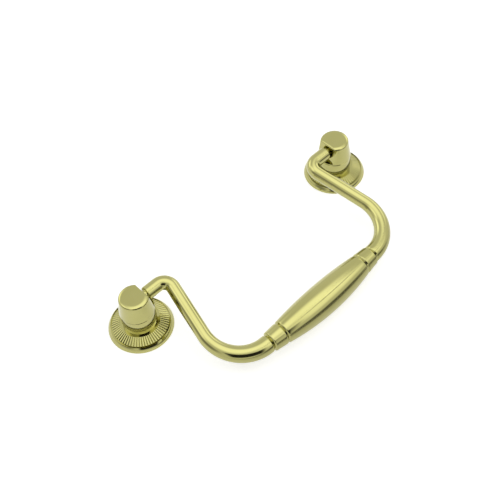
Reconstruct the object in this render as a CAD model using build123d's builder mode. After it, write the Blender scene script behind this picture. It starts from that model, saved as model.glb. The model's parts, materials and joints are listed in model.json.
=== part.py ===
from build123d import *
import os
from math import asin, atan2, cos, pi, radians, sin, sqrt, tan

# Box handle: a cast bail that swings on two turned posts, each standing on a fluted rosette.
# Sizes are in millimetres. The panel's face is Z = 0 and +Z points out of it. X runs from post
# to post, the origin is halfway between the two screws, and the bail lies on the -Y side.

# Fixing screws
hole_spacing = 96.0
screw_tap_diameter = 3.3
screw_hole_depth = 8.2
screw_lead_in = 0.25

# Bail rod, from the pins to the corners
rod_diameter = 5.0
rod_shoulder_chamfer = 0.2
pin_diameter = 3.2
pin_overrun = 1.4
pin_tip_chamfer = 0.4
bend_inner_radius = 1.0
arm_angle = 11.4
corner_radius = 13.6
reach = 40.65

# Bail grip, slightly bowed, with a collar and two turned grooves at each end
grip_diameter = 11.3
grip_end_diameter = 8.7
grip_length = 38.2
grip_lean = 2.5
swell_stations = 6
shoulder_length = 1.0
shoulder_diameter = 8.4
collar_length = 5.5
collar_inner_diameter = 8.1
collar_outer_diameter = 7.2
neck_diameter = 6.4
neck_lip_length = 0.85
turned_groove_width = 1.1
turned_groove_depth = 0.5
turned_edge_radius = 0.4

# Posts
foot_diameter = 11.6
widest_diameter = 12.2
head_top_diameter = 10.2
cup_height = 6.6
post_groove_width = 0.4
post_groove_depth = 0.25
ledge_rise = 0.3
crown_thickness = 1.0
crown_flat_diameter = 5.8
crown_fall = 0.4
head_edge_radius = 0.8
flat_depth_at_top = 1.5
flat_depth_at_ledge = 1.4
spigot_diameter = 7.0

# Rosettes
shelf_height = 3.3
shelf_width = 1.2
lip_height = 0.2
flute_run = 2.85
flute_outer_height = 2.05
flute_count = 64
flute_depth = 0.3
flute_land = 0.12
rim_gap = 0.5
rim_gap_depth = 0.9
rim_width = 1.05
rim_height = 1.95
back_edge_chamfer = 0.25
back_land_width = 1.7
back_wall = 1.1
hub_wall = 1.4

# Clearances
pin_clearance = 0.1
pin_end_clearance = 0.4
rod_shoulder_clearance = 0.1
ledge_clearance = 1.05
spigot_clearance = 0.05
spigot_setback = 0.2

# Heights up the post, worked out from the panel's face
half_spacing = hole_spacing / 2
rod_radius = rod_diameter / 2
post_groove_height = shelf_height + cup_height
ledge_height = post_groove_height + post_groove_width / 2 + ledge_rise
pivot_height = ledge_height + ledge_clearance + rod_radius
post_height = pivot_height + rod_radius + crown_thickness

# Radii of the post, and how far its flat lies from its axis
foot_radius = foot_diameter / 2
widest_radius = widest_diameter / 2
head_top_radius = head_top_diameter / 2
crown_flat_radius = crown_flat_diameter / 2
spigot_radius = spigot_diameter / 2
flat_at_top = head_top_radius - flat_depth_at_top
flat_at_ledge = widest_radius - flat_depth_at_ledge
pin_radius = pin_diameter / 2
pin_hole_radius = pin_radius + pin_clearance
pin_hole_end = pin_overrun + pin_end_clearance

# Radii of the rosette, worked outwards from the post's foot
spigot_hole_radius = spigot_radius + spigot_clearance
hub_radius = spigot_hole_radius + hub_wall
flute_inner_radius = foot_radius + shelf_width
flute_outer_radius = flute_inner_radius + flute_run
rim_inner_radius = flute_outer_radius + rim_gap
rosette_radius = rim_inner_radius + rim_width
flute_inner_height = shelf_height + lip_height
rim_gap_floor = rim_height - rim_gap_depth

# The bail's own plane holds the pivot axis and the grip's axis. At rest the grip lies on the panel.
grip_radius = grip_diameter / 2
rest_tilt = asin((pivot_height - grip_radius) / reach)
bail_plane = Plane(
    origin=(0, 0, pivot_height),
    x_dir=(1, 0, 0),
    z_dir=(0, -sin(rest_tilt), cos(rest_tilt)),
)

# The grip's bow, from its middle to where the turned collar starts
lean = radians(grip_lean)
swell_half_length = grip_length / 2 - turned_groove_width / 2 - shoulder_length
bow_radius = swell_half_length / sin(lean)
swell_rise = grip_radius - grip_end_diameter / 2
swell_radius = (swell_half_length**2 + swell_rise**2) / (2 * swell_rise)
swell_end = Vector(swell_half_length, bow_radius * (1 - cos(lean)) - reach)
collar_direction = Vector(cos(lean), sin(lean))

# Points of the turned profile, as distance along the collar's axis and radius
grip_end = (0, grip_end_diameter / 2)
grip_shoulder = (shoulder_length, shoulder_diameter / 2)
grip_groove = (shoulder_length + turned_groove_width / 2, collar_inner_diameter / 2 - turned_groove_depth)
collar_inner_shoulder = (shoulder_length + turned_groove_width, collar_inner_diameter / 2)
collar_outer_shoulder = (shoulder_length + collar_length, collar_outer_diameter / 2)
neck_groove = (collar_outer_shoulder[0] + turned_groove_width / 2, neck_diameter / 2 - turned_groove_depth)
neck_shoulder = (collar_outer_shoulder[0] + turned_groove_width, neck_diameter / 2)
neck_end = (neck_shoulder[0] + neck_lip_length, neck_diameter / 2)
turned_shoulders = (grip_shoulder, collar_inner_shoulder, collar_outer_shoulder, neck_shoulder)

# The bail's centreline, right half: tight bend, arm, and a corner that runs into the collar
splay = radians(arm_angle)
corner_turn = 90 + arm_angle - grip_lean
corner_end = swell_end + collar_direction * neck_end[0]
corner_centre = corner_end + Vector(-sin(lean), cos(lean)) * corner_radius
arm_end = corner_centre + Vector(cos(splay), sin(splay)) * corner_radius
bend_x = arm_end.X + arm_end.Y * tan(splay)
rod_shoulder_x = half_spacing - flat_at_ledge - rod_shoulder_clearance
pin_length = half_spacing + pin_overrun - rod_shoulder_x

with BuildLine(bail_plane) as rod_line:
    FilletPolyline(
        (rod_shoulder_x, 0),
        (bend_x, 0),
        tuple(arm_end),
        radius=rod_radius + bend_inner_radius,
    )

with BuildLine(bail_plane) as corner_line:
    JernArc(
        start=tuple(arm_end),
        tangent=(sin(splay), -cos(splay)),
        radius=corner_radius,
        arc_size=-corner_turn,
    )

with BuildLine(bail_plane) as grip_line:
    ThreePointArc((-swell_end.X, swell_end.Y), (0, -reach), tuple(swell_end))

# Bail, cast in one piece
collar_plane = Plane(
    origin=bail_plane.from_local_coords(swell_end),
    x_dir=bail_plane.x_dir * collar_direction.X + bail_plane.y_dir * collar_direction.Y,
    z_dir=bail_plane.z_dir,
)
collar_axis = Axis(collar_plane.origin, collar_plane.x_dir)

with BuildPart() as bail:
    # Bend and arm at the rod's own diameter, and a thinner pin from the rod's shoulder
    with BuildSketch(Plane(origin=rod_line.wire() @ 0, z_dir=rod_line.wire() % 0)):
        Circle(rod_radius)
    sweep(path=rod_line.wire())
    chamfer(bail.edges().sort_by(Axis.X)[-1], length=rod_shoulder_chamfer)
    with BuildSketch(Plane(origin=(rod_shoulder_x, 0, pivot_height), z_dir=(1, 0, 0))):
        Circle(pin_radius)
    extrude(amount=pin_length)
    chamfer(bail.edges().sort_by(Axis.X)[-1], length=pin_tip_chamfer)

    # Corner that swells from the rod to the neck
    with BuildSketch(Plane(origin=corner_line.wire() @ 0, z_dir=corner_line.wire() % 0)):
        Circle(rod_radius)
    with BuildSketch(Plane(origin=corner_line.wire() @ 1, z_dir=corner_line.wire() % 1)):
        Circle(neck_diameter / 2)
    sweep(path=corner_line.wire(), multisection=True)

    # Collar and grooves, turned about the collar's axis
    with BuildSketch(collar_plane) as collar_profile:
        with BuildLine():
            Polyline(
                grip_end,
                grip_shoulder,
                grip_groove,
                collar_inner_shoulder,
                collar_outer_shoulder,
                neck_groove,
                neck_shoulder,
                neck_end,
                (neck_end[0], 0),
                (0, 0),
                close=True,
            )
        make_face()
        corners = collar_profile.vertices()
        fillet([corners.sort_by_distance(s)[0] for s in turned_shoulders], radius=turned_edge_radius)
    revolve(axis=collar_axis)

    mirror(about=Plane.YZ)

    # Grip that swells towards its middle, along the bow
    for station in range(swell_stations + 1):
        share = station / swell_stations
        from_middle = swell_half_length * (2 * share - 1)
        with BuildSketch(Plane(origin=grip_line.wire() @ share, z_dir=grip_line.wire() % share)):
            Circle(grip_radius - swell_radius + sqrt(swell_radius**2 - from_middle**2))
    loft()

bail.part.label = "bail"

# Left post, turned about its own axis, with the bail's hole on its inner side
left_axis = Axis((-half_spacing, 0, 0), (0, 0, 1))
left_section = Plane(origin=left_axis.position, x_dir=(1, 0, 0), z_dir=(0, -1, 0))

with BuildPart() as post_left:
    with BuildSketch(left_section):
        with BuildLine():
            Polyline(
                (0, spigot_setback),
                (spigot_radius, spigot_setback),
                (spigot_radius, shelf_height),
                (foot_radius, shelf_height),
                (widest_radius, post_groove_height - post_groove_width / 2),
                (widest_radius - post_groove_depth, post_groove_height),
                (widest_radius, post_groove_height + post_groove_width / 2),
                (head_top_radius, post_height - crown_fall),
            )
            TangentArc(
                (crown_flat_radius, post_height),
                (head_top_radius, post_height - crown_fall),
                tangent=(1, 0),
            )
            Polyline((crown_flat_radius, post_height), (0, post_height), (0, spigot_setback))
        make_face()
    revolve(axis=left_axis)

    # Flat on the inner side of the head, down to a ledge above the groove
    with BuildSketch(left_section):
        with BuildLine():
            Polyline(
                (flat_at_ledge, ledge_height),
                (flat_at_top, post_height),
                (widest_diameter, post_height),
                (widest_diameter, ledge_height),
                close=True,
            )
        make_face()
    extrude(amount=widest_diameter, both=True, mode=Mode.SUBTRACT)
    crown_rim, crown_flat = post_left.faces().sort_by(Axis.Z)[-2:]
    crown_edges = crown_rim.edges().filter_by(lambda edge: edge.distance_to(crown_flat) > crown_fall / 2)
    flat, ledge = post_left.faces().filter_by(GeomType.PLANE).sort_by(Axis.X)[-2:]
    flat_edges = flat.edges().filter_by(lambda edge: ledge.distance_to(edge @ 0.5) > head_edge_radius)
    fillet(crown_edges + flat_edges, radius=head_edge_radius)

    # Blind hole for the bail's pin
    pin_hole_mouth = Plane(origin=(widest_radius - half_spacing, 0, pivot_height), z_dir=(1, 0, 0))
    with Locations(pin_hole_mouth):
        Hole(radius=pin_hole_radius, depth=widest_radius + pin_hole_end)

    # Blind screw hole from the back
    screw_hole_mouth = Plane(origin=(-half_spacing, 0, spigot_setback), z_dir=(0, 0, -1))
    with Locations(screw_hole_mouth):
        Hole(radius=screw_tap_diameter / 2, depth=screw_hole_depth)
    chamfer(post_left.faces().sort_by(Axis.Z)[0].inner_wires().edges(), length=screw_lead_in)

post_left.part.label = "post_left"

# Right post, the same post facing the other way
with BuildPart() as post_right:
    mirror(post_left.part, about=Plane.YZ)

post_right.part.label = "post_right"

# One flute: a vee that follows the ring's slope and narrows with the flutes' pitch
flute_pitch_outer = 2 * pi * flute_outer_radius / flute_count
flute_pitch_inner = 2 * pi * flute_inner_radius / flute_count
flute_half_angle = atan2((flute_pitch_outer - flute_land) / 2, flute_depth)
flute_depth_inner = (flute_pitch_inner - flute_land) / 2 / tan(flute_half_angle)
flute_floor_outer = Vector(flute_outer_radius, 0, flute_outer_height - flute_depth)
flute_floor_inner = Vector(flute_inner_radius, 0, flute_inner_height - flute_depth_inner)
flute_line = flute_floor_inner - flute_floor_outer
flute_start = flute_floor_outer - flute_line.normalized() * rim_gap
flute_plane = Plane(origin=flute_start, x_dir=(0, 1, 0), z_dir=flute_line)
flute_tool_height = 2 * flute_depth
flute_tool_width = flute_tool_height * tan(flute_half_angle)

with BuildPart() as flute:
    with BuildSketch(flute_plane):
        with BuildLine():
            Polyline(
                (0, 0),
                (flute_tool_width, -flute_tool_height),
                (-flute_tool_width, -flute_tool_height),
                close=True,
            )
        make_face()
    extrude(amount=flute_line.length + 2 * rim_gap)

# Left rosette, with a rounded rim, the ring of flutes, a shelf for the post and a cored back
with BuildPart() as rosette_left:
    with BuildSketch(left_section):
        with BuildLine():
            Polyline(
                (rim_inner_radius, rim_height),
                (rim_inner_radius, rim_gap_floor),
                (flute_outer_radius, rim_gap_floor),
                (flute_outer_radius, flute_outer_height),
                (flute_inner_radius, flute_inner_height),
                (flute_inner_radius, shelf_height),
                (spigot_hole_radius, shelf_height),
                (spigot_hole_radius, 0),
                (hub_radius, 0),
                (hub_radius, shelf_height - back_wall),
                (flute_inner_radius, shelf_height - back_wall),
                (rosette_radius - back_land_width, 0),
                (rosette_radius - back_edge_chamfer, 0),
                (rosette_radius, back_edge_chamfer),
            )
            TangentArc(
                (rosette_radius, back_edge_chamfer),
                (rim_inner_radius, rim_height),
                tangent=(0, 1),
            )
        make_face()
    revolve(axis=left_axis)
    with Locations(left_axis.position):
        with PolarLocations(radius=0, count=flute_count):
            add(flute.part, mode=Mode.SUBTRACT)

rosette_left.part.label = "rosette_left"

# Right rosette, the same rosette
with BuildPart() as rosette_right:
    mirror(rosette_left.part, about=Plane.YZ)

rosette_right.part.label = "rosette_right"

os.makedirs("parts", exist_ok=True)
export_step(bail.part, "parts/bail.step")
export_step(post_left.part, "parts/post_left.step")
export_step(post_right.part, "parts/post_right.step")
export_step(rosette_left.part, "parts/rosette_left.step")
export_step(rosette_right.part, "parts/rosette_right.step")
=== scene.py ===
import json
from math import acos, asin, atan2, cos, hypot, pi, radians, sin, sqrt, tan

import bmesh
import bpy
from mathutils import Matrix, Quaternion, Vector


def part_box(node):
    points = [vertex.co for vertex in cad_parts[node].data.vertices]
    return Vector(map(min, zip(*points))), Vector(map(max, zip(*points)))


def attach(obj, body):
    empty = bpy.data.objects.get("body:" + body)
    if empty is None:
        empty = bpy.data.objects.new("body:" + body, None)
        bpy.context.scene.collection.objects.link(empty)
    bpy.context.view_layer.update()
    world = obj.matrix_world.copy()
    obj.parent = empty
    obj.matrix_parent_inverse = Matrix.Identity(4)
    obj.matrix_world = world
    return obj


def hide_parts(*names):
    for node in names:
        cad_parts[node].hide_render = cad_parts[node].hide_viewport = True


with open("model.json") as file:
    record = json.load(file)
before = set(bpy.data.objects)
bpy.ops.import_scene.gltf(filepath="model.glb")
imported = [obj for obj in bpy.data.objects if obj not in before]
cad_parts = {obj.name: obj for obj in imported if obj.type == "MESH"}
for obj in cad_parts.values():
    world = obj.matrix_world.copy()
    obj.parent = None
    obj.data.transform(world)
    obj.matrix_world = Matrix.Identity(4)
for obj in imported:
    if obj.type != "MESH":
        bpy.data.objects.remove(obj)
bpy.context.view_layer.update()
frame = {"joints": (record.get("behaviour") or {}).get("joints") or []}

# Box handle: a cast bail that swings on two turned posts, each standing on a fluted rosette.
# Sizes are in metres, written as millimetres times MM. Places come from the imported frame.
MM = 0.001

# Places and outer sizes, read from the frame
pivot_height = frame["joints"][0]["pos_m"][2]
post_low, post_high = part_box("post_left")
rosette_low, rosette_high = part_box("rosette_left")
left_post_x = (post_low.x + post_high.x) / 2
widest_radius = (post_high.x - post_low.x) / 2
post_height = post_high.z
rosette_radius = (rosette_high.x - rosette_low.x) / 2
pin_tip_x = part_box("bail")[1].x

# Bail
ROD_RADIUS = 2.5 * MM
ROD_SHOULDER_CHAMFER = 0.2 * MM
ROD_SHOULDER_CLEARANCE = 0.1 * MM
PIN_RADIUS = 1.6 * MM
PIN_TIP_CHAMFER = 0.4 * MM
BEND_RADIUS = 3.5 * MM
ARM_ANGLE = radians(11.4)
CORNER_RADIUS = 13.6 * MM
REACH = 40.65 * MM
GRIP_RADIUS = 5.65 * MM
GRIP_END_RADIUS = 4.35 * MM
GRIP_LEAN = radians(2.5)
SWELL_HALF_LENGTH = 17.55 * MM
SHOULDER_LENGTH = 1.0 * MM
SHOULDER_RADIUS = 4.2 * MM
COLLAR_LENGTH = 5.5 * MM
COLLAR_INNER_RADIUS = 4.05 * MM
COLLAR_OUTER_RADIUS = 3.6 * MM
NECK_RADIUS = 3.2 * MM
NECK_LIP = 0.85 * MM
TURNED_GROOVE_WIDTH = 1.1 * MM
TURNED_GROOVE_DEPTH = 0.5 * MM
TURNED_EDGE = 0.2 * MM

# Posts
FOOT_RADIUS = 5.8 * MM
HEAD_TOP_RADIUS = 5.1 * MM
POST_GROOVE_HEIGHT = 9.9 * MM
POST_GROOVE_WIDTH = 0.4 * MM
POST_GROOVE_DEPTH = 0.45 * MM
BEAD_RADIUS = 6.08 * MM
BEAD_HEIGHT = 6.0 * MM
BEAD_CURVE = 30.0 * MM
BEAD_START = 5.0 * MM
GROOVE_LIP = 0.2 * MM
LEDGE_HEIGHT = 10.4 * MM
CROWN_FLAT_RADIUS = 3.6 * MM
CROWN_FALL = 0.4 * MM
HEAD_EDGE = 0.8 * MM
FLAT_AT_TOP = 3.6 * MM
FLAT_AT_LEDGE = 4.7 * MM
PIN_HOLE_RADIUS = 1.7 * MM
PIN_HOLE_END = 1.8 * MM
SPIGOT_RADIUS = 3.5 * MM
SPIGOT_SETBACK = 0.2 * MM
THREAD_MINOR_RADIUS = 1.65 * MM
THREAD_MAJOR_RADIUS = 2.0 * MM
THREAD_PITCH = 0.7 * MM
THREAD_TURNS = 10
SCREW_LEAD_IN = 0.25 * MM
DRILL_POINT = 0.9 * MM
DRILL_TIP_RADIUS = THREAD_MINOR_RADIUS / 8

# Rosettes
SHELF_HEIGHT = 3.3 * MM
FLUTE_INNER_RADIUS = 7.0 * MM
FLUTE_INNER_HEIGHT = 3.5 * MM
FLUTE_OUTER_RADIUS = 9.85 * MM
FLUTE_OUTER_HEIGHT = 2.05 * MM
FLUTE_COUNT = 64
FLUTE_DEPTH_INNER = 0.2 * MM
FLUTE_DEPTH_OUTER = 0.3 * MM
FLUTE_SHAPE = (0, 0.04, 0.14, 0.42, 1, 0.42, 0.14, 0.04)
RIM_INNER_RADIUS = 10.35 * MM
RIM_HEIGHT = 1.95 * MM
RIM_BULGE = 0.13 * MM
RIM_GAP_FLOOR = 1.05 * MM
SPIGOT_HOLE_RADIUS = 3.55 * MM
HUB_RADIUS = 4.95 * MM
BACK_HEIGHT = 2.2 * MM
BACK_LAND_RADIUS = 9.7 * MM
BACK_CHAMFER = 0.25 * MM

# How finely the pieces are turned
ROD_COLUMNS = 96
POST_COLUMNS = 96
FLUTE_RINGS = 6
RIM_STEPS = 12
CROWN_STEPS = 8
BEAD_STEPS = 5
BEND_STEPS = 14
CORNER_STEPS = 28
GRIP_STEPS = 20
EDGE_SEGMENTS = 6
SMOOTH_ANGLE = radians(35)
MERGE_DISTANCE = 0.002 * MM

# Brass
BRASS_DEEP = (0.415, 0.395, 0.14, 1)
BRASS_PALE = (0.448, 0.428, 0.159, 1)
TONE_SCALE = 90.0
TONE_START, TONE_END = 0.3, 0.7
COAT_WEIGHT = 0.35
COAT_ROUGHNESS = 0.03
HAZE_SCALE = 400.0
CLEAR_ROUGHNESS, HAZY_ROUGHNESS = 0.05, 0.12
WAVE_SCALE = 160.0
WAVE_STRENGTH = 0.12
WAVE_HEIGHT = 0.2 * MM
LATHE_SCALE = 9000.0
LATHE_STRENGTH = 0.05
LATHE_HEIGHT = 0.02 * MM

# Studio, in metres, with light levels at which 1 is white
WHITE = (1, 1, 1, 1)
TABLE_COLOUR = (0.8, 0.8, 0.8, 1)
TABLE_SIZE = 6.0
TABLE_GLOW = 0.68
ROOM_LIGHT = 0.2
ROOM_SEEN = 0.95
SOFT_FADE = 0.4
FIRM_FADE = 0.2
LAMP_DISTANCE = 0.7
OVERHEAD_PLACE = Vector((0.02, -0.03, 0.8))
SCREEN_DISTANCE = 0.42
GAP_DISTANCE = 0.6
GRIP_MIDDLE = Vector((0, -40, 7)) * MM
TABLE_SCREEN_PLACE = Vector((40, -162, 1.5)) * MM

# Camera, at the photograph's viewing angle
CAMERA_AZIMUTH = -38.0917
CAMERA_ELEVATION = 52.4844
CAMERA_ROLL = -6.5901
CAMERA_PLACE = Vector((-122.73, -155.11, 260.14)) * MM
CAMERA_LENS = 67.606
CAMERA_SENSOR = 36.0
CAMERA_NEAR = 0.01


def clear_selection():
    """Leaves edit mode and deselects every object, so an operator acts on the new piece alone."""
    if bpy.context.object and bpy.context.object.mode == "EDIT":
        bpy.ops.object.mode_set(mode="OBJECT")
    bpy.ops.object.select_all(action="DESELECT")


def start_ring(name, columns, radius, centre, rotation=(0, 0, 0)):
    """Starts a piece as an open ring of edges, in edit mode with the ring selected."""
    clear_selection()
    bpy.ops.mesh.primitive_circle_add(
        vertices=columns, radius=radius, fill_type="NOTHING", location=centre, rotation=rotation
    )
    piece = bpy.context.object
    piece.name = name
    piece.data.name = name
    bpy.ops.object.transform_apply(location=True, rotation=True, scale=True)
    bpy.ops.object.mode_set(mode="EDIT")
    bpy.ops.mesh.select_all(action="SELECT")
    return piece


def draw_on(step):
    """Draws the selected ring on by a step, which adds one band of faces."""
    bpy.ops.mesh.extrude_region_move(TRANSFORM_OT_translate={"value": step})


def resize_ring(factor, centre):
    """Makes the selected ring wider or narrower about its centre."""
    bpy.ops.transform.resize(value=(factor, factor, factor), center_override=centre)


def draw_stations(origin, axis, start, stations):
    """Draws the selected ring on through stations, each a distance along the axis and a radius."""
    place, radius = start
    for next_place, next_radius in stations:
        draw_on(axis * (next_place - place))
        resize_ring(next_radius / radius, origin + axis * next_place)
        place, radius = next_place, next_radius


def select_where(piece, test, mode="VERT"):
    """Selects the vertices whose place passes the test, or the edges or faces with all corners in it."""
    bpy.ops.mesh.select_mode(type="VERT")
    bpy.ops.mesh.select_all(action="DESELECT")
    mesh = bmesh.from_edit_mesh(piece.data)
    for vertex in mesh.verts:
        vertex.select = test(vertex.co)
    mesh.select_flush_mode()
    bmesh.update_edit_mesh(piece.data)
    bpy.ops.mesh.select_mode(type=mode)


def apply_modifier(piece, kind, **settings):
    """Adds a modifier with its settings to the active piece and applies it."""
    modifier = piece.modifiers.new(kind.title(), kind)
    for key, value in settings.items():
        setattr(modifier, key, value)
    bpy.ops.object.modifier_apply(modifier=modifier.name)


def finish_mesh(piece):
    """Merges doubles, turns the faces outwards and shades the polished surface smooth."""
    bpy.ops.object.mode_set(mode="EDIT")
    bpy.ops.mesh.select_mode(type="VERT")
    bpy.ops.mesh.select_all(action="SELECT")
    bpy.ops.mesh.remove_doubles(threshold=MERGE_DISTANCE)
    bpy.ops.mesh.normals_make_consistent(inside=False)
    bpy.ops.object.mode_set(mode="OBJECT")
    bpy.ops.object.shade_smooth_by_angle(angle=SMOOTH_ANGLE)
    apply_modifier(piece, "WEIGHTED_NORMAL", keep_sharp=True)


def turn_profile(name, profile, centre_x, columns):
    """Turns a profile of radii and heights about an upright axis, ring by ring from its first point."""
    stations = [(height, radius) for radius, height in profile]
    height, radius = stations[0]
    piece = start_ring(name, columns, radius, (centre_x, 0, height))
    draw_stations(Vector((centre_x, 0, 0)), Vector((0, 0, 1)), stations[0], stations[1:])
    return piece


def make_bail():
    """One piece: pin, rod with a tight bend, arm, swelling corner, collar between two grooves, and half the
    bowed grip, drawn on from the pin's tip and mirrored. It is modelled flat, then tilted to the table."""
    bend_turn = pi / 2 + ARM_ANGLE
    corner_turn = bend_turn - GRIP_LEAN
    arm = Vector((sin(ARM_ANGLE), -cos(ARM_ANGLE), 0))
    collar = Vector((cos(GRIP_LEAN), sin(GRIP_LEAN), 0))
    bow_radius = SWELL_HALF_LENGTH / sin(GRIP_LEAN)
    bow_centre = Vector((0, bow_radius - REACH, 0))
    swell_end = bow_centre + Vector((sin(GRIP_LEAN), -cos(GRIP_LEAN), 0)) * bow_radius

    # Turned stations, as distance along the collar's axis and radius
    half_groove = TURNED_GROOVE_WIDTH / 2
    neck_start = SHOULDER_LENGTH + COLLAR_LENGTH + TURNED_GROOVE_WIDTH
    grip_shoulder = (SHOULDER_LENGTH, SHOULDER_RADIUS)
    grip_groove = (SHOULDER_LENGTH + half_groove, COLLAR_INNER_RADIUS - TURNED_GROOVE_DEPTH)
    collar_inner = (SHOULDER_LENGTH + TURNED_GROOVE_WIDTH, COLLAR_INNER_RADIUS)
    collar_outer = (SHOULDER_LENGTH + COLLAR_LENGTH, COLLAR_OUTER_RADIUS)
    neck_groove = (neck_start - half_groove, NECK_RADIUS - TURNED_GROOVE_DEPTH)
    neck_shoulder = (neck_start, NECK_RADIUS)
    corner_end = neck_start + NECK_LIP

    corner_centre = swell_end + collar * corner_end + Vector((-collar.y, collar.x, 0)) * CORNER_RADIUS
    corner_start = corner_centre + Vector((-arm.y, arm.x, 0)) * CORNER_RADIUS
    bend_x = corner_start.x + corner_start.y * tan(ARM_ANGLE)
    bend_tangent = BEND_RADIUS * tan(bend_turn / 2)
    bend_start = Vector((bend_x + bend_tangent, 0, 0))
    bend_end = Vector((bend_x, 0, 0)) + arm * bend_tangent

    # Pin, and the shoulder where the rod starts
    rod_shoulder_x = -left_post_x - FLAT_AT_LEDGE - ROD_SHOULDER_CLEARANCE
    pin_tip = (pin_tip_x, PIN_RADIUS - PIN_TIP_CHAMFER)
    pin_stations = (
        (pin_tip_x - PIN_TIP_CHAMFER, PIN_RADIUS),
        (rod_shoulder_x, PIN_RADIUS),
        (rod_shoulder_x, ROD_RADIUS - ROD_SHOULDER_CHAMFER),
        (rod_shoulder_x - ROD_SHOULDER_CHAMFER, ROD_RADIUS),
        (bend_start.x, ROD_RADIUS),
    )
    bail = start_ring("bail_brass", ROD_COLUMNS, pin_tip[1], (pin_tip_x, 0, 0), (0, pi / 2, 0))
    draw_stations(Vector(), Vector((1, 0, 0)), pin_tip, pin_stations)
    bend_centre = bend_start - Vector((0, BEND_RADIUS, 0))
    bpy.ops.mesh.spin(steps=BEND_STEPS, angle=-bend_turn, center=bend_centre, axis=(0, 0, 1))
    draw_on(corner_start - bend_end)

    # The corner swells evenly from the rod to the neck
    radius = ROD_RADIUS
    for step in range(1, CORNER_STEPS + 1):
        share = step / CORNER_STEPS
        bpy.ops.mesh.spin(steps=1, angle=corner_turn / CORNER_STEPS, center=corner_centre, axis=(0, 0, 1))
        swung = Matrix.Rotation(-corner_turn * share, 3, "Z") @ (corner_start - corner_centre)
        next_radius = ROD_RADIUS + (NECK_RADIUS - ROD_RADIUS) * share
        resize_ring(next_radius / radius, corner_centre + swung)
        radius = next_radius

    # Neck, collar and grooves
    collar_stations = (
        neck_shoulder,
        neck_groove,
        collar_outer,
        collar_inner,
        grip_groove,
        grip_shoulder,
        (0, GRIP_END_RADIUS),
    )
    draw_stations(swell_end, collar, (corner_end, NECK_RADIUS), collar_stations)

    # The grip swells along its bow, to the middle
    swell_rise = GRIP_RADIUS - GRIP_END_RADIUS
    swell_radius = (SWELL_HALF_LENGTH**2 + swell_rise**2) / (2 * swell_rise)
    radius = GRIP_END_RADIUS
    for step in range(GRIP_STEPS - 1, -1, -1):
        angle = GRIP_LEAN * step / GRIP_STEPS
        bpy.ops.mesh.spin(steps=1, angle=GRIP_LEAN / GRIP_STEPS, center=bow_centre, axis=(0, 0, 1))
        on_bow = bow_centre + Vector((sin(angle), -cos(angle), 0)) * bow_radius
        next_radius = GRIP_RADIUS - swell_radius + sqrt(swell_radius**2 - on_bow.x**2)
        resize_ring(next_radius / radius, on_bow)
        radius = next_radius

    # Rounded shoulders beside the grooves, then the other half and the closed pin tips
    def along(co):
        return (co - swell_end).dot(collar)

    for shoulder_place, shoulder_radius in (neck_shoulder, collar_outer, collar_inner, grip_shoulder):
        select_where(
            bail,
            lambda co: abs(along(co) - shoulder_place) < MERGE_DISTANCE
            and abs((co - swell_end - collar * shoulder_place).length - shoulder_radius) < MERGE_DISTANCE,
            "EDGE",
        )
        bpy.ops.mesh.bevel(offset=TURNED_EDGE, segments=EDGE_SEGMENTS, affect="EDGES")
    select_where(bail, lambda co: abs(co.x - pin_tip_x) < MERGE_DISTANCE, "EDGE")
    bpy.ops.mesh.edge_face_add()
    bpy.ops.object.mode_set(mode="OBJECT")
    apply_modifier(bail, "MIRROR", use_axis=(True, False, False), merge_threshold=MERGE_DISTANCE)

    bail.rotation_euler = (asin((pivot_height - GRIP_RADIUS) / REACH), 0, 0)
    bail.location = (0, 0, pivot_height)
    bpy.ops.object.transform_apply(location=True, rotation=True, scale=True)
    finish_mesh(bail)
    return bail


def cut(piece, cutter):
    """Cuts one piece by another, which is then thrown away."""
    clear_selection()
    piece.select_set(True)
    bpy.context.view_layer.objects.active = piece
    apply_modifier(piece, "BOOLEAN", object=cutter, operation="DIFFERENCE", solver="EXACT")
    bpy.data.objects.remove(cutter)


def head_radius(height):
    """Radius of the tapered head, from its widest place up to the crown."""
    low, high = POST_GROOVE_HEIGHT + POST_GROOVE_WIDTH / 2, post_height - CROWN_FALL
    return widest_radius + (HEAD_TOP_RADIUS - widest_radius) * (height - low) / (high - low)


def flat_distance(height):
    """How far the slanted flat lies from the post's axis."""
    lean = (FLAT_AT_LEDGE - FLAT_AT_TOP) / (post_height - LEDGE_HEIGHT)
    return FLAT_AT_LEDGE - lean * (height - LEDGE_HEIGHT)


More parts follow.
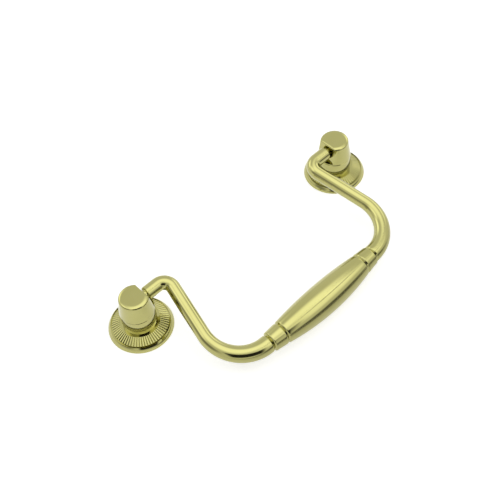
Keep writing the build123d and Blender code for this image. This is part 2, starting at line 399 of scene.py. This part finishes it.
def flat_cutter():
    """A block that takes off the head's inner side down to the ledge. A core with rounded edges is cut out
    of it first, so that the slanted flat ends in rounded edges at its sides and at its top."""
    slant = atan2(FLAT_AT_LEDGE - FLAT_AT_TOP, post_height - LEDGE_HEIGHT)
    size = 2 * widest_radius
    core_foot = LEDGE_HEIGHT - HEAD_EDGE
    round_start = post_height - HEAD_EDGE * (1 - sin(slant))
    turn = acos(FLAT_AT_LEDGE / head_radius(LEDGE_HEIGHT))
    half_width = FLAT_AT_LEDGE * tan(turn)
    half_width_at_top = sqrt(head_radius(round_start) ** 2 - flat_distance(round_start) ** 2)
    half_width_at_back = half_width + size / tan(turn)

    # The core's outline: the flat, and sides that run off along the round of the head
    clear_selection()
    flat_x = left_post_x + flat_distance(core_foot)
    bpy.ops.mesh.primitive_plane_add(size=size, location=(flat_x - size / 2, 0, core_foot))
    core = bpy.context.object
    bpy.ops.object.transform_apply(location=True, rotation=True, scale=True)
    bpy.ops.object.mode_set(mode="EDIT")
    select_where(core, lambda co: co.x < left_post_x)
    bpy.ops.transform.resize(value=(1, half_width_at_back / (size / 2), 1), center_override=(0, 0, 0))
    select_where(core, lambda co: co.x > left_post_x)
    bpy.ops.transform.resize(value=(1, half_width / (size / 2), 1), center_override=(0, 0, 0))
    setback = HEAD_EDGE * tan(turn / 2)
    bpy.ops.mesh.bevel(offset_type="ABSOLUTE", offset=setback, segments=EDGE_SEGMENTS, affect="VERTICES")

    # Up the flat, round its top edge and on above the crown
    bpy.ops.mesh.select_all(action="SELECT")
    draw_on((flat_distance(round_start) - flat_distance(core_foot), 0, round_start - core_foot))
    bpy.ops.transform.resize(value=(1, half_width_at_top / half_width, 1), center_override=(0, 0, 0))
    angle = slant
    for step in range(EDGE_SEGMENTS):
        next_angle = angle + (pi / 2 - slant) / EDGE_SEGMENTS
        along, up = cos(next_angle) - cos(angle), sin(next_angle) - sin(angle)
        draw_on((HEAD_EDGE * along, 0, HEAD_EDGE * up))
        angle = next_angle
    draw_on((0, 0, HEAD_EDGE))
    bpy.ops.mesh.select_all(action="SELECT")
    bpy.ops.mesh.normals_make_consistent(inside=False)

    clear_selection()
    block_x = left_post_x + FLAT_AT_TOP / 2 + size / 2
    bpy.ops.mesh.primitive_cube_add(size=size, location=(block_x, 0, LEDGE_HEIGHT + size / 2))
    block = bpy.context.object
    bpy.ops.object.transform_apply(location=True, rotation=True, scale=True)
    cut(block, core)
    return block


def make_post():
    """Turned post with a tapped hole from the back, a domed crown, a slanted flat on its inner side and a
    blind hole for the bail's pin."""
    half_groove = POST_GROOVE_WIDTH / 2

    # The tapped hole from its drilled end down, with the thread as plain rings, then the spigot and the foot
    thread_top = SPIGOT_SETBACK + SCREW_LEAD_IN + THREAD_TURNS * THREAD_PITCH
    drill_end = thread_top + DRILL_POINT
    profile = [(DRILL_TIP_RADIUS, drill_end)]
    for turn in range(THREAD_TURNS):
        profile.append((THREAD_MINOR_RADIUS, thread_top - turn * THREAD_PITCH))
        profile.append((THREAD_MAJOR_RADIUS, thread_top - (turn + 0.5) * THREAD_PITCH))
    profile += [
        (THREAD_MINOR_RADIUS, SPIGOT_SETBACK + SCREW_LEAD_IN),
        (THREAD_MINOR_RADIUS + SCREW_LEAD_IN, SPIGOT_SETBACK),
        (SPIGOT_RADIUS, SPIGOT_SETBACK),
        (SPIGOT_RADIUS, SHELF_HEIGHT),
        (FOOT_RADIUS, SHELF_HEIGHT),
    ]

    # The cup bulges in a slight bead, which ends in a lip at the groove
    bead_end = POST_GROOVE_HEIGHT - half_groove - GROOVE_LIP
    for step in range(BEAD_STEPS + 1):
        height = BEAD_START + (bead_end - BEAD_START) * step / BEAD_STEPS
        profile.append((BEAD_RADIUS - (height - BEAD_HEIGHT) ** 2 / (2 * BEAD_CURVE), height))
    profile += [
        (profile[-1][0] - GROOVE_LIP, bead_end + GROOVE_LIP),
        (widest_radius - POST_GROOVE_DEPTH, POST_GROOVE_HEIGHT),
        (widest_radius, POST_GROOVE_HEIGHT + half_groove),
    ]

    # The head's side runs into a rounded edge, and that into the domed crown
    crown_run = HEAD_TOP_RADIUS - CROWN_FLAT_RADIUS
    crown_radius = (crown_run**2 + CROWN_FALL**2) / (2 * CROWN_FALL)
    crown_angle = asin(crown_run / crown_radius)
    side_rise = post_height - CROWN_FALL - POST_GROOVE_HEIGHT - half_groove
    side_normal = atan2(widest_radius - HEAD_TOP_RADIUS, side_rise)
    crown_normal = pi / 2 - crown_angle
    half_turn = (crown_normal - side_normal) / 2
    edge_middle = (crown_normal + side_normal) / 2
    edge_radius = HEAD_TOP_RADIUS - HEAD_EDGE / cos(half_turn) * cos(edge_middle)
    edge_height = post_height - CROWN_FALL - HEAD_EDGE / cos(half_turn) * sin(edge_middle)
    for step in range(EDGE_SEGMENTS + 1):
        angle = side_normal + 2 * half_turn * step / EDGE_SEGMENTS
        profile.append((edge_radius + HEAD_EDGE * cos(angle), edge_height + HEAD_EDGE * sin(angle)))
    for step in range(CROWN_STEPS - 1, -1, -1):
        angle = crown_angle * step / CROWN_STEPS
        place = CROWN_FLAT_RADIUS + crown_radius * sin(angle)
        if place < profile[-1][0]:
            profile.append((place, post_height - crown_radius * (1 - cos(angle))))

    post = turn_profile("post_left_brass", profile, left_post_x, POST_COLUMNS)
    bpy.ops.mesh.edge_face_add()
    select_where(
        post,
        lambda co: abs(co.z - drill_end) < MERGE_DISTANCE and abs(co.x - left_post_x) < 2 * DRILL_TIP_RADIUS,
        "EDGE",
    )
    bpy.ops.mesh.edge_face_add()
    bpy.ops.mesh.select_all(action="SELECT")
    bpy.ops.mesh.normals_make_consistent(inside=False)
    cut(post, flat_cutter())

    # Blind hole for the pin
    clear_selection()
    depth = PIN_HOLE_END + widest_radius
    bpy.ops.mesh.primitive_cylinder_add(
        vertices=POST_COLUMNS,
        radius=PIN_HOLE_RADIUS,
        depth=depth,
        location=(left_post_x - PIN_HOLE_END + depth / 2, 0, pivot_height),
        rotation=(0, pi / 2, 0),
    )
    cut(post, bpy.context.object)
    finish_mesh(post)
    return post


def make_rosette():
    """Turned rosette with a cored back, a ring of flutes, a crevice and a sloping, slightly bulging rim."""
    columns = FLUTE_COUNT * len(FLUTE_SHAPE)
    run = FLUTE_OUTER_RADIUS - FLUTE_INNER_RADIUS
    fall = FLUTE_INNER_HEIGHT - FLUTE_OUTER_HEIGHT
    rim_width, rim_rise = rosette_radius - RIM_INNER_RADIUS, RIM_HEIGHT - BACK_CHAMFER
    rim_slope = hypot(rim_width, rim_rise)
    profile = [
        (SPIGOT_HOLE_RADIUS, 0),
        (SPIGOT_HOLE_RADIUS, SHELF_HEIGHT),
        (FLUTE_INNER_RADIUS, SHELF_HEIGHT),
    ]
    for ring in range(FLUTE_RINGS + 1):
        share = ring / FLUTE_RINGS
        profile.append((FLUTE_INNER_RADIUS + run * share, FLUTE_INNER_HEIGHT - fall * share))
    profile += [(FLUTE_OUTER_RADIUS, RIM_GAP_FLOOR), (RIM_INNER_RADIUS, RIM_GAP_FLOOR)]

    # The rim's face slopes from the crevice out to the back's edge
    for step in range(RIM_STEPS, -1, -1):
        share = step / RIM_STEPS
        bulge = RIM_BULGE * 4 * share * (1 - share) / rim_slope
        rim_radius = rosette_radius - rim_width * share + rim_rise * bulge
        profile.append((rim_radius, BACK_CHAMFER + rim_rise * share + rim_width * bulge))
    profile += [
        (rosette_radius - BACK_CHAMFER, 0),
        (BACK_LAND_RADIUS, 0),
        (FLUTE_INNER_RADIUS, BACK_HEIGHT),
        (HUB_RADIUS, BACK_HEIGHT),
        (HUB_RADIUS, 0),
    ]
    rosette = turn_profile("rosette_left_brass", profile, left_post_x, columns)
    select_where(
        rosette,
        lambda co: abs(co.z) < MERGE_DISTANCE
        and hypot(co.x - left_post_x, co.y) < HUB_RADIUS + MERGE_DISTANCE,
        "EDGE",
    )
    bpy.ops.mesh.bridge_edge_loops()

    # Each flute sinks, ring by ring, by the depth that its shape gives each column
    def phase(co):
        return round(atan2(co.y, co.x - left_post_x) / (2 * pi) * columns) % len(FLUTE_SHAPE)

    for ring in range(FLUTE_RINGS + 1):
        share = ring / FLUTE_RINGS
        ring_radius = FLUTE_INNER_RADIUS + run * share
        ring_height = FLUTE_INNER_HEIGHT - fall * share
        depth = FLUTE_DEPTH_INNER + (FLUTE_DEPTH_OUTER - FLUTE_DEPTH_INNER) * share
        for column, shape in enumerate(FLUTE_SHAPE):
            if shape == 0:
                continue
            select_where(
                rosette,
                lambda co: abs(co.z - ring_height) < MERGE_DISTANCE
                and abs(hypot(co.x - left_post_x, co.y) - ring_radius) < MERGE_DISTANCE
                and phase(co) == column,
            )
            bpy.ops.transform.translate(value=(0, 0, -depth * shape))
    finish_mesh(rosette)
    return rosette


def copy_across(piece, name):
    """Copies a piece to the other post, turned half round, with a mesh of its own."""
    clear_selection()
    piece.select_set(True)
    bpy.context.view_layer.objects.active = piece
    bpy.ops.object.duplicate(linked=False)
    twin = bpy.context.object
    twin.name = name
    twin.data.name = name
    twin.rotation_euler = (0, 0, pi)
    bpy.ops.object.transform_apply(location=True, rotation=True, scale=True)
    return twin


bail = make_bail()
post_left = make_post()
post_right = copy_across(post_left, "post_right_brass")
rosette_left = make_rosette()
rosette_right = copy_across(rosette_left, "rosette_right_brass")
bpy.ops.object.select_all(action="DESELECT")


def add_node(nodes, kind, **values):
    """Adds a shader node and sets its properties, or its inputs where the name starts with a capital."""
    node = nodes.new(kind)
    for key, value in values.items():
        if key[0].isupper():
            node.inputs[key.replace("_", " ")].default_value = value
        else:
            setattr(node, key, value)
    return node


def polished_brass(name, turned):
    """Brass with a tone that drifts a little, fine haze in its gloss and a surface that is never quite even.
    Turned pieces also keep the faint rings of the lathe, about the axis of each post."""
    material = bpy.data.materials.new(name)
    material.use_nodes = True
    nodes, links = material.node_tree.nodes, material.node_tree.links
    shader = nodes["Principled BSDF"]
    shader.inputs["Metallic"].default_value = 1.0
    shader.inputs["Coat Weight"].default_value = COAT_WEIGHT
    shader.inputs["Coat Roughness"].default_value = COAT_ROUGHNESS
    place = add_node(nodes, "ShaderNodeTexCoord").outputs["Object"]

    tone = add_node(nodes, "ShaderNodeTexNoise", Scale=TONE_SCALE, Detail=3.0)
    links.new(place, tone.inputs["Vector"])
    colour = add_node(nodes, "ShaderNodeValToRGB")
    colour.color_ramp.elements[0].position = TONE_START
    colour.color_ramp.elements[0].color = BRASS_DEEP
    colour.color_ramp.elements[1].position = TONE_END
    colour.color_ramp.elements[1].color = BRASS_PALE
    links.new(tone.outputs["Fac"], colour.inputs["Fac"])
    links.new(colour.outputs["Color"], shader.inputs["Base Color"])

    haze = add_node(nodes, "ShaderNodeTexNoise", Scale=HAZE_SCALE, Detail=5.0)
    links.new(place, haze.inputs["Vector"])
    gloss = add_node(nodes, "ShaderNodeMapRange", To_Min=CLEAR_ROUGHNESS, To_Max=HAZY_ROUGHNESS)
    links.new(haze.outputs["Fac"], gloss.inputs["Value"])
    links.new(gloss.outputs["Result"], shader.inputs["Roughness"])

    waves = add_node(nodes, "ShaderNodeTexNoise", Scale=WAVE_SCALE, Detail=1.0)
    links.new(place, waves.inputs["Vector"])
    bump = add_node(nodes, "ShaderNodeBump", Strength=WAVE_STRENGTH, Distance=WAVE_HEIGHT)
    links.new(waves.outputs["Fac"], bump.inputs["Height"])
    links.new(bump.outputs["Normal"], shader.inputs["Normal"])
    if turned:
        axes = add_node(nodes, "ShaderNodeSeparateXYZ")
        links.new(place, axes.inputs["Vector"])
        across = add_node(nodes, "ShaderNodeMath", operation="ABSOLUTE")
        links.new(axes.outputs["X"], across.inputs[0])
        from_post = add_node(nodes, "ShaderNodeMath", operation="ADD")
        from_post.inputs[1].default_value = left_post_x
        links.new(across.outputs["Value"], from_post.inputs[0])
        flat_place = add_node(nodes, "ShaderNodeCombineXYZ")
        links.new(from_post.outputs["Value"], flat_place.inputs["X"])
        links.new(axes.outputs["Y"], flat_place.inputs["Y"])
        ring = add_node(nodes, "ShaderNodeVectorMath", operation="LENGTH")
        links.new(flat_place.outputs["Vector"], ring.inputs[0])
        along = add_node(nodes, "ShaderNodeMath", operation="ADD")
        links.new(ring.outputs["Value"], along.inputs[0])
        links.new(axes.outputs["Z"], along.inputs[1])
        rings = add_node(nodes, "ShaderNodeTexNoise", noise_dimensions="1D", Scale=LATHE_SCALE, Detail=2.0)
        links.new(along.outputs["Value"], rings.inputs["W"])
        lathe = add_node(nodes, "ShaderNodeBump", Strength=LATHE_STRENGTH, Distance=LATHE_HEIGHT)
        links.new(rings.outputs["Fac"], lathe.inputs["Height"])
        links.new(lathe.outputs["Normal"], bump.inputs["Normal"])
    return material


cast_brass = polished_brass("cast_brass", turned=False)
turned_brass = polished_brass("turned_brass", turned=True)
for piece, body, node, brass in (
    (bail, "bail", "bail", cast_brass),
    (post_left, "base", "post_left", turned_brass),
    (post_right, "base", "post_right", turned_brass),
    (rosette_left, "base", "rosette_left", turned_brass),
    (rosette_right, "base", "rosette_right", turned_brass),
):
    piece.data.materials.clear()
    piece.data.materials.append(brass)
    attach(piece, body)
    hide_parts(node)

# Studio: a white table and a white room, with soft lamps and dark screens that the metal mirrors
scene = bpy.context.scene
scene.view_settings.view_transform = "Standard"


def seen_directly(nodes, links):
    """1 for rays from the camera and for rays that metal or glass sends back, else 0."""
    path = add_node(nodes, "ShaderNodeLightPath")
    first = add_node(nodes, "ShaderNodeMath", operation="MAXIMUM")
    links.new(path.outputs["Is Camera Ray"], first.inputs[0])
    links.new(path.outputs["Is Glossy Ray"], first.inputs[1])
    both = add_node(nodes, "ShaderNodeMath", operation="MAXIMUM")
    links.new(first.outputs["Value"], both.inputs[0])
    links.new(path.outputs["Is Transmission Ray"], both.inputs[1])
    return both.outputs["Value"]


def direction(azimuth, elevation):
    """The way out from the handle: azimuth 0 is its front, 90 its right, and elevation 90 is straight up."""
    around, above = radians(azimuth), radians(elevation)
    return Vector((sin(around) * cos(above), -cos(around) * cos(above), sin(above)))


world = bpy.data.worlds.new("white_room")
scene.world = world
world.use_nodes = True
nodes, links = world.node_tree.nodes, world.node_tree.links
room = nodes["Background"]
room.inputs["Color"].default_value = WHITE
level = add_node(nodes, "ShaderNodeMapRange", To_Min=ROOM_LIGHT, To_Max=ROOM_SEEN)
links.new(seen_directly(nodes, links), level.inputs["Value"])
links.new(level.outputs["Result"], room.inputs["Strength"])

bpy.ops.mesh.primitive_plane_add(size=TABLE_SIZE, location=(0, 0, 0))
table = bpy.context.object
table.name = "table"
table_white = bpy.data.materials.new("table_white")
table_white.use_nodes = True
nodes, links = table_white.node_tree.nodes, table_white.node_tree.links
nodes.remove(nodes["Principled BSDF"])
paper = add_node(nodes, "ShaderNodeBsdfDiffuse", Color=TABLE_COLOUR)
glow = add_node(nodes, "ShaderNodeEmission", Color=WHITE)
glow_level = add_node(nodes, "ShaderNodeMath", operation="MULTIPLY")
glow_level.inputs[1].default_value = TABLE_GLOW
links.new(seen_directly(nodes, links), glow_level.inputs[0])
links.new(glow_level.outputs["Value"], glow.inputs["Strength"])
surface = add_node(nodes, "ShaderNodeAddShader")
links.new(paper.outputs["BSDF"], surface.inputs[0])
links.new(glow.outputs["Emission"], surface.inputs[1])
links.new(surface.outputs["Shader"], nodes["Material Output"].inputs["Surface"])
table.data.materials.append(table_white)


def soft_edges(nodes, links, share):
    """1 in the middle of a panel, falling to 0 at its four edges over a share of its size."""
    place = add_node(nodes, "ShaderNodeTexCoord")
    sides = add_node(nodes, "ShaderNodeSeparateXYZ")
    links.new(place.outputs["UV"], sides.inputs["Vector"])
    both = add_node(nodes, "ShaderNodeMath", operation="MULTIPLY")
    half_panel = 0.5
    for socket, side in enumerate("XY"):
        from_edge = add_node(nodes, "ShaderNodeMath", operation="PINGPONG")
        from_edge.inputs[1].default_value = half_panel
        links.new(sides.outputs[side], from_edge.inputs[0])
        fade = add_node(nodes, "ShaderNodeMapRange", interpolation_type="SMOOTHSTEP", From_Max=share)
        links.new(from_edge.outputs["Value"], fade.inputs["Value"])
        links.new(fade.outputs["Result"], both.inputs[socket])
    return both.outputs["Value"]


def studio_panel(name, place, facing, width, height, turn=0.0):
    """A flat panel of the studio that the camera doesn't see, with an empty material to fill."""
    bpy.ops.mesh.primitive_plane_add(size=1.0, location=place)
    card = bpy.context.object
    card.name = name
    roll = Quaternion((0, 0, 1), radians(turn))
    card.rotation_euler = (facing.to_track_quat("Z", "Y") @ roll).to_euler()
    card.scale = (width, height, 1)
    bpy.ops.object.transform_apply(location=True, rotation=True, scale=True)
    cloth = bpy.data.materials.new(name)
    cloth.use_nodes = True
    cloth.node_tree.nodes.remove(cloth.node_tree.nodes["Principled BSDF"])
    card.data.materials.append(cloth)
    card.visible_camera = False
    return card, cloth.node_tree.nodes, cloth.node_tree.links


def lamp(name, place, facing, width, height, radiance):
    """A soft lamp with edges that fade. Its radiance, at which 1 is white, adds to the room behind it."""
    nodes, links = studio_panel(name, place, facing, width, height)[1:]
    glow = add_node(nodes, "ShaderNodeEmission", Color=WHITE)
    strength = add_node(nodes, "ShaderNodeMath", operation="MULTIPLY")
    strength.inputs[1].default_value = radiance
    links.new(soft_edges(nodes, links, SOFT_FADE), strength.inputs[0])
    links.new(strength.outputs["Value"], glow.inputs["Strength"])
    clear = add_node(nodes, "ShaderNodeBsdfTransparent")
    surface = add_node(nodes, "ShaderNodeAddShader")
    links.new(glow.outputs["Emission"], surface.inputs[0])
    links.new(clear.outputs["BSDF"], surface.inputs[1])
    links.new(surface.outputs["Shader"], nodes["Material Output"].inputs["Surface"])


def screen(name, place, facing, width, height, grey, turn=0.0, fade=SOFT_FADE):
    """A dark screen with edges that fade, which only shows in the metal."""
    card, nodes, links = studio_panel(name, place, facing, width, height, turn)
    clear = add_node(nodes, "ShaderNodeBsdfTransparent")
    cloth = add_node(nodes, "ShaderNodeEmission", Color=(grey, grey, grey, 1))
    surface = add_node(nodes, "ShaderNodeMixShader")
    links.new(soft_edges(nodes, links, fade), surface.inputs["Fac"])
    links.new(clear.outputs["BSDF"], surface.inputs[1])
    links.new(cloth.outputs["Emission"], surface.inputs[2])
    links.new(surface.outputs["Shader"], nodes["Material Output"].inputs["Surface"])
    card.visible_diffuse = False
    card.visible_shadow = False


def from_handle(azimuth, elevation, distance):
    """A place round the handle, and the way from there back to it."""
    toward = direction(azimuth, elevation)
    return toward * distance, -toward


# Lamps and screens stand round the handle, most of them at an azimuth and an elevation in degrees
lamp("key_lamp", *from_handle(35, 46, LAMP_DISTANCE), width=0.95, height=0.62, radiance=0.8)
lamp("side_lamp", *from_handle(82, 62, LAMP_DISTANCE), width=0.6, height=0.4, radiance=0.3)
lamp("right_lamp", *from_handle(98, 27, LAMP_DISTANCE), width=0.6, height=0.4, radiance=1.1)
lamp("back_lamp", *from_handle(-165, 29, LAMP_DISTANCE), width=0.75, height=0.45, radiance=1.2)
lamp("left_lamp", *from_handle(-128, 50, LAMP_DISTANCE), width=0.6, height=0.45, radiance=1.0)
lamp("overhead_lamp", OVERHEAD_PLACE, Vector((0, 0, -1)), width=1.25, height=1.1, radiance=1.0)

# The narrow strip draws the thin dark line along the grip, the other screens the metal's dark parts
gap_place, gap_facing = from_handle(46.7, 55.3, GAP_DISTANCE)
screen("lamp_gap", gap_place + GRIP_MIDDLE, gap_facing, width=0.5, height=0.05, grey=0.3, turn=35)
camera_side = from_handle(-28, 30, SCREEN_DISTANCE)
screen("camera_screen", *camera_side, width=0.5, height=0.34, grey=0.03, fade=FIRM_FADE)
screen("side_screen", *from_handle(-95, 25, SCREEN_DISTANCE), width=0.5, height=0.3, grey=0.3)
screen("front_screen", *from_handle(20, 3, SCREEN_DISTANCE), width=0.7, height=0.2, grey=0.15)
screen("table_screen", TABLE_SCREEN_PLACE, Vector((0, 0, 1)), width=0.6, height=0.3, grey=0.15)

# Camera, turned about its own axis by the roll
back = direction(CAMERA_AZIMUTH, CAMERA_ELEVATION)
level_right = Vector((cos(radians(CAMERA_AZIMUTH)), sin(radians(CAMERA_AZIMUTH)), 0))
level_up = back.cross(level_right)
roll = radians(CAMERA_ROLL)
right = level_right * cos(roll) + level_up * sin(roll)
up = level_up * cos(roll) - level_right * sin(roll)
bpy.ops.object.camera_add(location=CAMERA_PLACE)
camera = bpy.context.object
camera.name = "photo_camera"
camera.rotation_euler = Matrix((right, up, back)).transposed().to_euler()
camera.data.sensor_width = CAMERA_SENSOR
camera.data.lens = CAMERA_LENS
camera.data.clip_start = CAMERA_NEAR
scene.camera = camera
